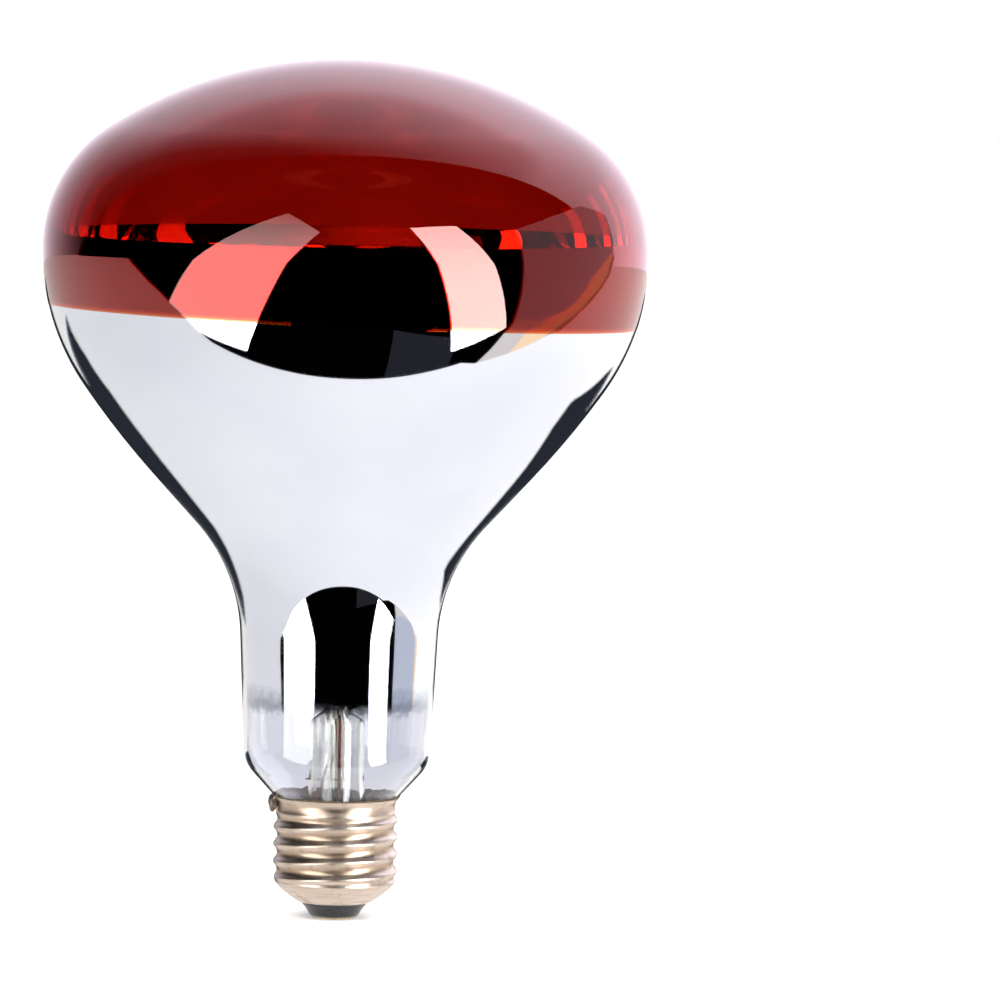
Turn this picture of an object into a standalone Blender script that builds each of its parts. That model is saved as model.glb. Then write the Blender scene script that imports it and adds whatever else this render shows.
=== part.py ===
"""Red infrared reflector heat lamp with an E27 screw cap, standing on its cap with its face up.

Z is the lamp's axis, and the origin is the middle of the centre contact's flat face.
Sizes are in millimetres and are turned to metres as each piece is made.
"""
import bmesh
import bpy
import math
from mathutils import Matrix, Vector

MM = 0.001
FIT_GAP = 0.3              # clearance between pieces that touch on the real lamp
SIDES = 36                 # facets round the big turned pieces
SHELL_SIDES = 32           # facets round the threaded shell
ROWS_PER_TURN = 5          # rows of facets in one turn of thread
SMALL_SIDES = 16           # facets round the small ones

# Bulb: tangent arcs and lines from the middle of the face down to the seal in the cap
LAMP_HEIGHT = 180.2
CROWN_RADIUS, CROWN_SWEEP = 91.0, 33.0
SHOULDER_RADIUS = 30.4
BELT_RADIUS, BELT_SWEEP = 50.0, 35.0
FLANK_RADIUS = 181.0
CONE_ANGLE, CONE_LENGTH = 42.4, 14.0
THROAT_RADIUS = 36.6
NECK_TAPER, NECK_LENGTH = 2.7, 24.5
HEEL_RADIUS = 7.8
SEAL_ANGLE, SEAL_LENGTH = 42.5, 11.9
GLASS_WALL = 0.9
LACQUER_WALL = 0.1
MIRROR_WALL = 0.1
LACQUER_EDGE = 126.4       # height of the lacquer's lower edge on the axis
LACQUER_TILT = (0.0266, 0.014)   # fall of that edge per millimetre along X and Y
MIRROR_TOP, MIRROR_BOTTOM = 143.3, 46.0

# Screw cap, E27: rolled right-hand thread, seven turns to the inch
THREAD_PITCH = 25.4 / 7
THREAD_CREST_RADIUS, THREAD_ROOT_RADIUS = 13.07, 12.15
THREAD_TOP, THREAD_BOTTOM = 22.4, 7.6
THREAD_FADE = 1.6          # height over which the thread rises from the plain shell
CREST_HEIGHT_FRONT = 19.95   # a crest's height on the -Y side
SHELL_WALL = 0.3
RIM_HEIGHT, RIM_RADIUS = 25.6, 13.25
LIP_HEIGHT, LIP_RADIUS = 3.3, 7.3
SHOULDER_FLATNESS = 1.7    # 2 would make the shoulder under the thread a straight cone
INSULATOR_FOOT_RADIUS = 4.7
CONTACT_RADIUS, CONTACT_THICKNESS = 4.0, 0.5
CONTACT_HOLE_RADIUS = 2.3
SOLDER_ANGLE = 192.0       # direction of the side lead and its solder, from +X

# Stem inside the neck
FLARE_RADIUS, FLARE_WALL = 5.8, 0.9
FLARE_FOOT_RADIUS, FLARE_FOOT_HEIGHT = 8.6, 21.3
PRESS_BOTTOM, PRESS_TOP = 44.6, 53.0
PRESS_WIDTH, PRESS_DEPTH = 13.0, 4.2
EXHAUST_RADIUS, EXHAUST_WALL, EXHAUST_TIP = 1.9, 0.6, 12.5
LEAD_SPACING = 3.6         # distance of each wire in the press from the axis
MOUNT_TURN = -80.0         # the press and the mount above it are turned about the axis
MOUNT_NAMES = ("stem_press", "press_bore", "seal_wire", "heat_deflector", "deflector_hole",
               "inner_lead", "filament")
COPPER_RADIUS, SEAL_WIRE_RADIUS, NICKEL_RADIUS = 0.3, 0.25, 0.45
ARBOR_RADIUS, ARBOR_TOP, BUTTON_RADIUS = 1.6, 90.0, 3.2
DEFLECTOR_RADIUS, DEFLECTOR_HEIGHT, DEFLECTOR_THICKNESS = 14.5, 62.0, 0.4

# Filament mount
FILAMENT_RING_RADIUS, FILAMENT_HEIGHT, COIL_RADIUS = 14.0, 101.0, 0.8
FILAMENT_OPENING = 50.0    # angle left open in the ring, round the -Y direction
SUPPORT_COUNT, SUPPORT_RADIUS = 5, 0.2


def material(name, colour, roughness, metallic=0.0, transmission=0.0):
    made = bpy.data.materials.new(name)
    made.use_nodes = True
    made.diffuse_color = (*colour, 1.0)
    shader = made.node_tree.nodes["Principled BSDF"]
    shader.inputs["Base Color"].default_value = (*colour, 1.0)
    shader.inputs["Roughness"].default_value = roughness
    shader.inputs["Metallic"].default_value = metallic
    shader.inputs["Transmission Weight"].default_value = transmission
    return made


def finish(bm, name, surface, smooth_angle=35.0):
    """Scale a millimetre bmesh to metres, face it outwards and make its object."""
    bmesh.ops.remove_doubles(bm, verts=bm.verts, dist=0.0005)
    bmesh.ops.recalc_face_normals(bm, faces=bm.faces)
    bmesh.ops.scale(bm, vec=(MM, MM, MM), verts=bm.verts)
    mesh = bpy.data.meshes.new(name)
    bm.to_mesh(mesh)
    bm.free()
    mesh.shade_smooth()
    mesh.set_sharp_from_angle(angle=math.radians(smooth_angle))
    mesh.materials.append(surface)
    thing = bpy.data.objects.new(name, mesh)
    bpy.context.collection.objects.link(thing)
    return thing


def spun(outline, closed, sides):
    """Turn an outline of (radius, height) points about Z."""
    bm = bmesh.new()
    points = [bm.verts.new((radius, 0.0, height)) for radius, height in outline]
    pairs = list(zip(points, points[1:]))
    if closed:
        pairs.append((points[-1], points[0]))
    edges = [bm.edges.new(pair) for pair in pairs]
    bmesh.ops.spin(bm, geom=points + edges, axis=(0, 0, 1), cent=(0, 0, 0),
                   angle=math.tau, steps=sides, use_merge=True)
    bmesh.ops.remove_doubles(bm, verts=bm.verts, dist=0.0005)
    return bm


def turned(name, outline, surface, closed=True, sides=SMALL_SIDES):
    return finish(spun(outline, closed, sides), name, surface)


def bulb_line(inset):
    """The bulb's outline moved inwards by inset, from the axis at the top to the seal."""
    stretches = [
        (CROWN_RADIUS, CROWN_SWEEP, 4),
        (SHOULDER_RADIUS, 90.0 - CROWN_SWEEP, 6),
        (BELT_RADIUS, BELT_SWEEP, 3),
        (FLANK_RADIUS, CONE_ANGLE - BELT_SWEEP, 1),
        (None, CONE_LENGTH, 1),
        (-THROAT_RADIUS, CONE_ANGLE - NECK_TAPER, 4),
        (None, NECK_LENGTH, 1),
        (HEEL_RADIUS, SEAL_ANGLE - NECK_TAPER, 3),
        (None, SEAL_LENGTH, 1),
    ]
    place, heading = Vector((0.0, LAMP_HEIGHT - inset)), 0.0
    points = [tuple(place)]
    for radius, amount, count in stretches:
        if radius is None:
            place = place + amount * Vector((math.cos(heading), -math.sin(heading)))
            points.append(tuple(place))
            continue
        radius_here = radius - inset
        turn = math.radians(amount) * (1 if radius > 0 else -1) / count
        for _ in range(count):
            step = Vector((math.sin(heading + turn) - math.sin(heading),
                           math.cos(heading + turn) - math.cos(heading)))
            place = place + radius_here * step
            heading += turn
            points.append(tuple(place))
    return points


def stretch(points, high, low):
    """The part of a falling line of points between two heights."""
    kept = []
    for (r0, z0), (r1, z1) in zip(points, points[1:]):
        for cut in (high, low):
            if z1 < cut < z0:
                kept.append((r0 + (r1 - r0) * (z0 - cut) / (z0 - z1), cut))
        if low < z1 < high:
            kept.append((r1, z1))
    return kept


def make_bulb(surface):
    skin = LACQUER_WALL + FIT_GAP
    outside = bulb_line(skin)
    inside = bulb_line(skin + GLASS_WALL)
    return turned("glass_bulb", outside + inside[::-1], surface, closed=False, sides=SIDES)


def make_lacquer(surface):
    lowest = LACQUER_EDGE - 8.0
    outside = bulb_line(0.0)[:1] + stretch(bulb_line(0.0), LAMP_HEIGHT, lowest)
    inside = bulb_line(LACQUER_WALL)
    inside = inside[:1] + stretch(inside, inside[0][1], lowest)
    coat = turned("ruby_lacquer", outside + inside[::-1], surface, closed=False, sides=SIDES)

    cutter = finish(box((160.0, 160.0, 40.0)), "lacquer_cutter", surface)
    fall_x, fall_y = (math.atan(fall) for fall in LACQUER_TILT)
    cutter.rotation_euler = (-fall_y, fall_x, 0.0)
    cutter.location = Vector((0.0, 0.0, LACQUER_EDGE - 20.0)) * MM
    cut_away(coat, cutter)
    return coat


def make_mirror(surface):
    skin = LACQUER_WALL + FIT_GAP + GLASS_WALL + FIT_GAP
    outside = stretch(bulb_line(skin), MIRROR_TOP, MIRROR_BOTTOM)
    inside = stretch(bulb_line(skin + MIRROR_WALL), MIRROR_TOP, MIRROR_BOTTOM)
    return turned("mirror_film", outside + inside[::-1], surface, sides=SIDES)


def box(size):
    bm = bmesh.new()
    bmesh.ops.create_cube(bm, size=1.0)
    bmesh.ops.scale(bm, vec=size, verts=bm.verts)
    return bm


def cut_away(target, cutter):
    cutter.hide_render = True
    cutter.display_type = "WIRE"
    cut = target.modifiers.new(cutter.name, "BOOLEAN")
    cut.operation = "DIFFERENCE"
    cut.solver = "EXACT"
    cut.object = cutter


def thread_lift(angle, height):
    """How far the rolled thread stands out at an angle from +X and a height."""
    fade = min((THREAD_TOP - height) / THREAD_FADE, (height - THREAD_BOTTOM) / THREAD_FADE, 1.0)
    if fade <= 0.0:
        return 0.0
    rise = THREAD_PITCH * (angle - 1.5 * math.pi) / math.tau
    wave = math.cos(math.tau * (height - CREST_HEIGHT_FRONT - rise) / THREAD_PITCH)
    middle = (THREAD_CREST_RADIUS - THREAD_ROOT_RADIUS) / 2
    return fade * middle * wave


def make_screw_shell(surface):
    plain = (THREAD_CREST_RADIUS + THREAD_ROOT_RADIUS) / 2
    rows = round((THREAD_TOP - THREAD_BOTTOM) / THREAD_PITCH * ROWS_PER_TURN)
    threaded = [(plain, THREAD_TOP - (THREAD_TOP - THREAD_BOTTOM) * row / rows)
                for row in range(rows + 1)]
    shoulder_drop = THREAD_BOTTOM - LIP_HEIGHT
    shoulder = [(LIP_RADIUS + (plain - LIP_RADIUS) * math.cos(a) ** SHOULDER_FLATNESS,
                 THREAD_BOTTOM - shoulder_drop * math.sin(a) ** SHOULDER_FLATNESS)
                for a in map(math.radians, (25, 45, 65))]
    outside = [(RIM_RADIUS, RIM_HEIGHT), (plain + 0.12, RIM_HEIGHT - 1.2)]
    outside += threaded + shoulder + [(LIP_RADIUS, LIP_HEIGHT)]
    inside = [(r - SHELL_WALL, max(z, LIP_HEIGHT + SHELL_WALL)) for r, z in outside]
    inside[-1] = (LIP_RADIUS, LIP_HEIGHT + SHELL_WALL)
    bm = spun(outside + inside[::-1], True, SHELL_SIDES)
    for vert in bm.verts:
        angle = math.atan2(vert.co.y, vert.co.x) % math.tau
        lift = thread_lift(angle, vert.co.z)
        radius = math.hypot(vert.co.x, vert.co.y)
        vert.co.x *= (radius + lift) / radius
        vert.co.y *= (radius + lift) / radius
    return finish(bm, "screw_shell", surface, smooth_angle=60.0)


def make_insulator(surface):
    top = LIP_HEIGHT + SHELL_WALL + FIT_GAP
    bore = 1.2
    floor = CONTACT_THICKNESS + FIT_GAP
    outline = [
        (bore, top + 1.6), (LIP_RADIUS - 1.5, top + 1.6), (LIP_RADIUS + 0.5, top),
        (LIP_RADIUS - FIT_GAP, top), (LIP_RADIUS - FIT_GAP - 0.1, LIP_HEIGHT - 0.2),
        (INSULATOR_FOOT_RADIUS + 0.4, 0.8), (INSULATOR_FOOT_RADIUS, 0.35),
        (CONTACT_RADIUS + FIT_GAP, 0.35), (CONTACT_RADIUS + FIT_GAP, floor), (bore, floor),
    ]
    return turned("base_insulator", outline, surface, sides=24)


def make_contact(surface):
    outline = [(CONTACT_HOLE_RADIUS, CONTACT_THICKNESS), (CONTACT_RADIUS, CONTACT_THICKNESS),
               (CONTACT_RADIUS, 0.15), (CONTACT_RADIUS - 0.15, 0.0), (CONTACT_HOLE_RADIUS, 0.0)]
    return turned("centre_contact", outline, surface, sides=24)


def make_centre_solder(surface):
    edge = CONTACT_HOLE_RADIUS - FIT_GAP
    outline = [(0.0, CONTACT_THICKNESS), (edge, CONTACT_THICKNESS), (edge, 0.0), (0.0, 0.0)]
    return turned("centre_solder", outline, surface, closed=False, sides=24)


def make_side_solder(surface):
    bm = bmesh.new()
    bmesh.ops.create_uvsphere(bm, u_segments=12, v_segments=8, radius=1.0)
    bmesh.ops.scale(bm, vec=(0.8, 1.5, 1.6), verts=bm.verts)
    bmesh.ops.translate(bm, vec=(RIM_RADIUS + FIT_GAP + 0.8, 0.0, RIM_HEIGHT - 1.0), verts=bm.verts)
    bmesh.ops.rotate(bm, matrix=Matrix.Rotation(math.radians(SOLDER_ANGLE), 3, "Z"), verts=bm.verts)
    return finish(bm, "side_solder", surface)


def glass_radius(height):
    """Outer radius of the bulb's seal at a height inside the cap."""
    line = bulb_line(LACQUER_WALL + FIT_GAP)[-2:]
    (r0, z0), (r1, z1) = line
    return r0 + (r1 - r0) * (z0 - height) / (z0 - z1)


def make_cement(surface):
    inner_gap = FIT_GAP / math.cos(math.radians(SEAL_ANGLE))
    top, shelf, bottom = RIM_HEIGHT - 1.4, THREAD_TOP + 0.3, 18.5
    outer = THREAD_ROOT_RADIUS - SHELL_WALL - FIT_GAP
    seat = bulb_line(LACQUER_WALL + FIT_GAP)[-1][1]
    collar = (THREAD_CREST_RADIUS + THREAD_ROOT_RADIUS) / 2 - SHELL_WALL - FIT_GAP
    outline = [
        (glass_radius(top) + inner_gap, top), (collar, top), (collar, shelf + 0.4), (outer, shelf),
        (outer, bottom), (FLARE_FOOT_RADIUS + 1.6, bottom), (FLARE_FOOT_RADIUS + 1.3, seat - 0.4),
        (glass_radius(seat + 0.2) + inner_gap, seat + 0.2),
    ]
    return turned("basing_cement", outline, surface, sides=SIDES)


def make_flare(surface):
    """Stem tube, belled at its foot where it meets the bulb's seal."""
    bell = 9.0
    outside = [(FLARE_RADIUS, PRESS_BOTTOM - FIT_GAP), (FLARE_RADIUS, FLARE_FOOT_HEIGHT + bell)]
    for a in (22.5, 45.0, 67.5, 90.0):
        swing = math.radians(a)
        outside.append((FLARE_RADIUS + (FLARE_FOOT_RADIUS - FLARE_RADIUS) * (1 - math.cos(swing)),
                        FLARE_FOOT_HEIGHT + bell * (1 - math.sin(swing))))
    outside[-1] = (FLARE_FOOT_RADIUS, FLARE_FOOT_HEIGHT)
    inside = [(r - FLARE_WALL, z) for r, z in outside]
    return turned("stem_flare", outside + inside[::-1], surface, sides=20)


def make_press(surface):
    """Flattened end of the stem tube, with bores for the two seal wires."""
    bm = box((PRESS_WIDTH, PRESS_DEPTH, PRESS_TOP - PRESS_BOTTOM))
    upright = [e for e in bm.edges if abs(e.verts[0].co.z - e.verts[1].co.z) > 1.0]
    bmesh.ops.bevel(bm, geom=upright, offset=1.6, segments=3, profile=0.5,
                    affect="EDGES", material=-1)
    bmesh.ops.translate(bm, vec=(0.0, 0.0, (PRESS_TOP + PRESS_BOTTOM) / 2), verts=bm.verts)
    press = finish(bm, "stem_press", surface)
    for side, hand in (("a", -1), ("b", 1)):
        bore = rod(12, SEAL_WIRE_RADIUS + FIT_GAP, PRESS_BOTTOM - 2.0, PRESS_TOP + 2.0)
        bmesh.ops.translate(bore, vec=(hand * LEAD_SPACING, 0.0, 0.0), verts=bore.verts)
        cut_away(press, finish(bore, "press_bore_" + side, surface))
    return press


def rod(sides, radius, bottom, top):
    bm = bmesh.new()
    bmesh.ops.create_cone(bm, cap_ends=True, segments=sides, radius1=radius, radius2=radius,
                          depth=top - bottom)
    bmesh.ops.translate(bm, vec=(0.0, 0.0, (top + bottom) / 2), verts=bm.verts)
    return bm


def make_exhaust(surface):
    top, tip = PRESS_BOTTOM - FIT_GAP, EXHAUST_TIP
    bore = EXHAUST_RADIUS - EXHAUST_WALL
    outline = [(0.0, tip + 1.4), (bore, tip + 3.2), (bore, top), (EXHAUST_RADIUS, top),
               (EXHAUST_RADIUS, tip + 2.4), (EXHAUST_RADIUS * 0.55, tip + 0.7), (0.0, tip)]
    return turned("exhaust_tube", outline, surface, closed=False, sides=12)


def make_arbor(surface):
    bm = rod(12, ARBOR_RADIUS, PRESS_TOP + FIT_GAP, ARBOR_TOP)
    finish(bm, "arbor_rod", surface)
    base = ARBOR_TOP + FIT_GAP
    outline = [(0.0, base + 4.4), (BUTTON_RADIUS * 0.7, base + 3.9), (BUTTON_RADIUS, base + 2.2),
               (BUTTON_RADIUS * 0.8, base + 0.6), (ARBOR_RADIUS, base), (0.0, base)]
    turned("arbor_button", outline, surface, closed=False, sides=16)


def make_deflector(plate_surface, collar_surface):
    """Heat deflecting disc with holes for the rod and both leads, and the collar under it."""
    low, high = DEFLECTOR_HEIGHT, DEFLECTOR_HEIGHT + DEFLECTOR_THICKNESS
    centre_hole = ARBOR_RADIUS + FIT_GAP
    outline = [(centre_hole, high), (DEFLECTOR_RADIUS, high), (DEFLECTOR_RADIUS, low),
               (centre_hole, low)]
    plate = turned("heat_deflector", outline, plate_surface, sides=28)
    for side, hand in (("a", -1), ("b", 1)):
        hole = rod(10, NICKEL_RADIUS + 0.5, low - 2.0, high + 2.0)
        bmesh.ops.translate(hole, vec=(hand * LEAD_SPACING, 0.0, 0.0), verts=hole.verts)
        cut_away(plate, finish(hole, "deflector_hole_" + side, plate_surface))
    collar_top = low - FIT_GAP
    collar = [(centre_hole, collar_top), (centre_hole + 0.8, collar_top),
              (centre_hole + 0.8, collar_top - 2.5), (centre_hole, collar_top - 2.5)]
    turned("deflector_collar", collar, collar_surface, sides=12)


def wire(name, route, radius, surface, bevel_resolution=2):
    """A round wire through a list of points, as a curve with filled ends."""
    curve = bpy.data.curves.new(name, "CURVE")
    curve.dimensions = "3D"
    curve.bevel_depth = radius * MM
    curve.bevel_resolution = bevel_resolution
    curve.use_fill_caps = True
    line = curve.splines.new("POLY")
    line.points.add(len(route) - 1)
    for point, place in zip(line.points, route):
        point.co = (*(Vector(place) * MM), 1.0)
    curve.materials.append(surface)
    made = bpy.data.objects.new(name, curve)
    bpy.context.collection.objects.link(made)
    return made


def smooth_route(points, count):
    """Points read evenly from a Catmull-Rom curve through the given ones."""
    knots = [Vector(p) for p in points]
    knots = [2 * knots[0] - knots[1]] + knots + [2 * knots[-1] - knots[-2]]
    spans = len(knots) - 3
    route = []
    for i in range(count + 1):
        at = min(i * spans / count, spans - 1e-6)
        k, t = int(at), at - int(at)
        a, b, c, d = knots[k:k + 4]
        route.append(0.5 * (2 * b + (c - a) * t + (2 * a - 5 * b + 4 * c - d) * t ** 2
                            + (3 * b - a - 3 * c + d) * t ** 3))
    return route


def ring_point(degrees, radius, height):
    angle = math.radians(degrees)
    return (radius * math.cos(angle), radius * math.sin(angle), height)


def make_outer_leads(surface):
    """Copper leads below the press: one to the centre contact, one over the rim to its solder."""
    press_foot = PRESS_BOTTOM - FIT_GAP
    centre = [ring_point(MOUNT_TURN, LEAD_SPACING, press_foot),
              ring_point(MOUNT_TURN, LEAD_SPACING, 34.0), (0.7, -3.2, 24.0), (0.9, -2.6, 13.0),
              (0.5, -1.0, 8.0), (0.0, 0.0, 5.0), (0.0, 0.0, CONTACT_THICKNESS + FIT_GAP)]
    wire("outer_lead_centre", smooth_route(centre, 24), COPPER_RADIUS, surface)
    side = [ring_point(MOUNT_TURN, -LEAD_SPACING, press_foot),
            ring_point(MOUNT_TURN, -LEAD_SPACING, 37.0), (-2.2, 3.2, 31.0), (-4.1, 1.9, 25.0),
            (-5.2, 0.1, 19.8), ring_point(SOLDER_ANGLE, 8.5, 16.2),
            ring_point(SOLDER_ANGLE, 10.2, 16.6)]
    wire("outer_lead_side", smooth_route(side, 22), COPPER_RADIUS, surface)


def make_seal_wires(surface):
    for side, hand in (("a", -1), ("b", 1)):
        bm = rod(8, SEAL_WIRE_RADIUS, PRESS_BOTTOM, PRESS_TOP)
        bmesh.ops.translate(bm, vec=(hand * LEAD_SPACING, 0.0, 0.0), verts=bm.verts)
        finish(bm, "seal_wire_" + side, surface)


def make_inner_leads(lead_surface, crimp_surface):
    """Nickel leads up through the deflector and out to the two ends of the filament."""
    for side, hand in (("a", -1), ("b", 1)):
        end_angle = -90.0 + hand * FILAMENT_OPENING / 2
        end = ring_point(end_angle, FILAMENT_RING_RADIUS, FILAMENT_HEIGHT - 2.6)
        points = [(hand * LEAD_SPACING, 0.0, PRESS_TOP + FIT_GAP), (hand * LEAD_SPACING, 0.0, 64.0),
                  (hand * 4.0, -1.2, 76.0), (hand * 5.2, -7.5, 90.0), end]
        wire("inner_lead_" + side, smooth_route(points, 16), NICKEL_RADIUS, lead_surface)
        bm = box((1.6, 1.1, 2.0))
        bmesh.ops.bevel(bm, geom=bm.edges[:], offset=0.25, segments=1, profile=0.5,
                        affect="EDGES", material=-1)
        bmesh.ops.translate(bm, vec=(end[0], end[1], FILAMENT_HEIGHT - 0.8 - FIT_GAP - 0.2),
                            verts=bm.verts)
        finish(bm, "filament_crimp_" + side, crimp_surface)


def make_filament(filament_surface, support_surface):
    """Open ring of coil, held up by wires that fan out from the arbor's button."""
    sweep = 360.0 - FILAMENT_OPENING - 14.0
    start = -90.0 + FILAMENT_OPENING / 2 + 7.0
    steps = 28
    ring = [ring_point(start + sweep * i / steps, FILAMENT_RING_RADIUS, FILAMENT_HEIGHT)
            for i in range(steps + 1)]
    wire("filament", ring, COIL_RADIUS, filament_surface)
    hub = ARBOR_TOP + FIT_GAP + 2.2
    for i in range(SUPPORT_COUNT):
        angle = start + sweep * (i + 0.5) / SUPPORT_COUNT
        points = [ring_point(angle, BUTTON_RADIUS + FIT_GAP, hub),
                  ring_point(angle, BUTTON_RADIUS + 4.5, hub + 2.2),
                  ring_point(angle, FILAMENT_RING_RADIUS, FILAMENT_HEIGHT - COIL_RADIUS - 0.6)]
        wire("filament_support_%d" % (i + 1), smooth_route(points, 6), SUPPORT_RADIUS,
             support_surface, bevel_resolution=1)


def turn_mount():
    """Turn the press and the mount it carries, with the cutters of their holes, about the axis."""
    turn = Matrix.Rotation(math.radians(MOUNT_TURN), 4, "Z")
    for thing in bpy.data.objects:
        if thing.name.startswith(MOUNT_NAMES):
            thing.data.transform(turn)


def make_lamp():
    clear_glass = material("clear_glass", (0.92, 0.93, 0.95), 0.02, transmission=1.0)
    lead_glass = material("lead_glass", (0.88, 0.90, 0.90), 0.05, transmission=1.0)
    ruby = material("ruby_lacquer", (0.35, 0.005, 0.008), 0.06)
    mirror = material("aluminium_mirror", (0.86, 0.86, 0.88), 0.04, metallic=1.0)
    nickel_brass = material("nickelled_brass", (0.72, 0.62, 0.48), 0.22, metallic=1.0)
    brass = material("brass", (0.70, 0.52, 0.24), 0.3, metallic=1.0)
    solder = material("solder", (0.45, 0.44, 0.43), 0.45, metallic=1.0)
    black_glass = material("black_glass", (0.03, 0.03, 0.035), 0.25)
    cement = material("basing_cement", (0.50, 0.48, 0.46), 0.9)
    copper = material("copper", (0.60, 0.27, 0.17), 0.35, metallic=1.0)
    nickel = material("nickel", (0.60, 0.58, 0.55), 0.3, metallic=1.0)
    tungsten = material("tungsten", (0.30, 0.30, 0.31), 0.5, metallic=1.0)
    molybdenum = material("molybdenum", (0.45, 0.45, 0.46), 0.4, metallic=1.0)
    aluminium = material("aluminium", (0.80, 0.80, 0.80), 0.3, metallic=1.0)

    make_bulb(clear_glass)
    make_lacquer(ruby)
    make_mirror(mirror)
    make_screw_shell(nickel_brass)
    make_insulator(black_glass)
    make_contact(brass)
    make_centre_solder(solder)
    make_side_solder(solder)
    make_cement(cement)
    make_flare(lead_glass)
    make_press(lead_glass)
    make_exhaust(lead_glass)
    make_arbor(lead_glass)
    make_deflector(aluminium, nickel)
    make_outer_leads(copper)
    make_seal_wires(copper)
    make_inner_leads(nickel, nickel)
    make_filament(tungsten, molybdenum)
    turn_mount()


for old in list(bpy.data.objects):
    bpy.data.objects.remove(old, do_unlink=True)
make_lamp()
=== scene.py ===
import bmesh
import bpy
import math
from mathutils import Matrix, Quaternion, Vector, noise


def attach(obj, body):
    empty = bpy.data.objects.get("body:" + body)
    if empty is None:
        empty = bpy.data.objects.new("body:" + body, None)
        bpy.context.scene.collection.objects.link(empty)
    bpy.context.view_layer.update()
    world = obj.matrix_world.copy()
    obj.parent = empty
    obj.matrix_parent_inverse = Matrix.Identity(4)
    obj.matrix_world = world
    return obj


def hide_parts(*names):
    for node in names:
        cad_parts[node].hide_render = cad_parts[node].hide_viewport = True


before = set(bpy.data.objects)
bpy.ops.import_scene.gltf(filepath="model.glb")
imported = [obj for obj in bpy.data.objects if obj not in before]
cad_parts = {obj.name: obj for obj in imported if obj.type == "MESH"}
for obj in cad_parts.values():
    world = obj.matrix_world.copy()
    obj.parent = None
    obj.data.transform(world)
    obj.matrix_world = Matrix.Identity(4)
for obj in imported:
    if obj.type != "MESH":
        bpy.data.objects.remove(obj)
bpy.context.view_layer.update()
mm = 0.001


def hexColour(text, alpha=1.0):
    channels = [int(text[i:i + 2], 16) / 255 for i in (0, 2, 4)]
    linear = [c / 12.92 if c <= 0.04045 else ((c + 0.055) / 1.055) ** 2.4 for c in channels]
    return (*linear, alpha)


def addNode(tree, kind, settings=None, inputs=None):
    # one node with its settings and its sockets, each a plain value or a link
    node = tree.nodes.new(kind)
    for name, value in (settings or {}).items():
        setattr(node, name, value)
    for name, value in (inputs or {}).items():
        if isinstance(value, bpy.types.NodeSocket):
            tree.links.new(value, node.inputs[name])
        else:
            node.inputs[name].default_value = value
    return node


def newMaterial(name, **sockets):
    made = bpy.data.materials.new(name)
    made.use_nodes = True
    tree = made.node_tree
    tree.nodes.clear()
    shader = addNode(tree, "ShaderNodeBsdfPrincipled", None,
                     {key.replace("_", " "): value for key, value in sockets.items()})
    addNode(tree, "ShaderNodeOutputMaterial", None, {"Surface": shader.outputs["BSDF"]})
    return made, tree, shader


def uneven(tree, shader, grain, colours=None, rough=None, bump=0.0, stretch=(1.0, 1.0, 1.0),
           detail=4.0):
    # one noise, its grain in mm, breaks up the colour, the gloss and the height of a finish
    where = addNode(tree, "ShaderNodeTexCoord")
    turned = addNode(tree, "ShaderNodeMapping", None,
                     {"Vector": where.outputs["Object"], "Scale": stretch})
    grains = addNode(tree, "ShaderNodeTexNoise", None,
                     {"Vector": turned.outputs[0], "Scale": 1.0 / (grain * mm), "Detail": detail,
                      "Roughness": 0.55})
    spread = addNode(tree, "ShaderNodeMapRange", None,
                     {"Value": grains.outputs[0], "From Min": 0.3, "From Max": 0.7})
    if colours:
        tone = addNode(tree, "ShaderNodeMix", {"data_type": "RGBA"},
                       {0: spread.outputs[0], 6: hexColour(colours[0]), 7: hexColour(colours[1])})
        tree.links.new(tone.outputs[2], shader.inputs["Base Color"])
    if rough:
        gloss = addNode(tree, "ShaderNodeMapRange", None,
                        {"Value": spread.outputs[0], "To Min": rough[0], "To Max": rough[1]})
        tree.links.new(gloss.outputs[0], shader.inputs["Roughness"])
    if bump:
        relief(tree, shader, grains.outputs[0], bump)
    return where.outputs["Object"]


def relief(tree, shader, height, depth):
    # adds a height of so many mm to whatever relief the finish already has
    bumps = addNode(tree, "ShaderNodeBump", None, {"Height": height, "Distance": depth * mm})
    under = shader.inputs["Normal"].links
    if under:
        tree.links.new(under[0].from_socket, bumps.inputs["Normal"])
    tree.links.new(bumps.outputs[0], shader.inputs["Normal"])


def layOver(tree, shader, mask, colour):
    # a second tone over what already feeds the colour
    under = shader.inputs["Base Color"].links[0].from_socket
    over = addNode(tree, "ShaderNodeMix", {"data_type": "RGBA"},
                   {0: mask, 6: under, 7: hexColour(colour)})
    tree.links.new(over.outputs[2], shader.inputs["Base Color"])


def along(tree, place, direction, start, end):
    # 0 to 1 between two distances, in mm, along a direction
    reach = addNode(tree, "ShaderNodeVectorMath", {"operation": "DOT_PRODUCT"},
                    {0: place, 1: direction})
    return addNode(tree, "ShaderNodeMapRange", None,
                   {"Value": reach.outputs["Value"], "From Min": start * mm,
                    "From Max": end * mm}).outputs[0]


def outFromAxis(tree, place, start, end):
    # 0 to 1 between two distances, in mm, from the lamp's axis
    flat = addNode(tree, "ShaderNodeVectorMath", {"operation": "MULTIPLY"},
                   {0: place, 1: (1.0, 1.0, 0.0)})
    reach = addNode(tree, "ShaderNodeVectorMath", {"operation": "LENGTH"}, {0: flat.outputs[0]})
    return addNode(tree, "ShaderNodeMapRange", None,
                   {"Value": reach.outputs["Value"], "From Min": start * mm,
                    "From Max": end * mm}).outputs[0]


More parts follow.
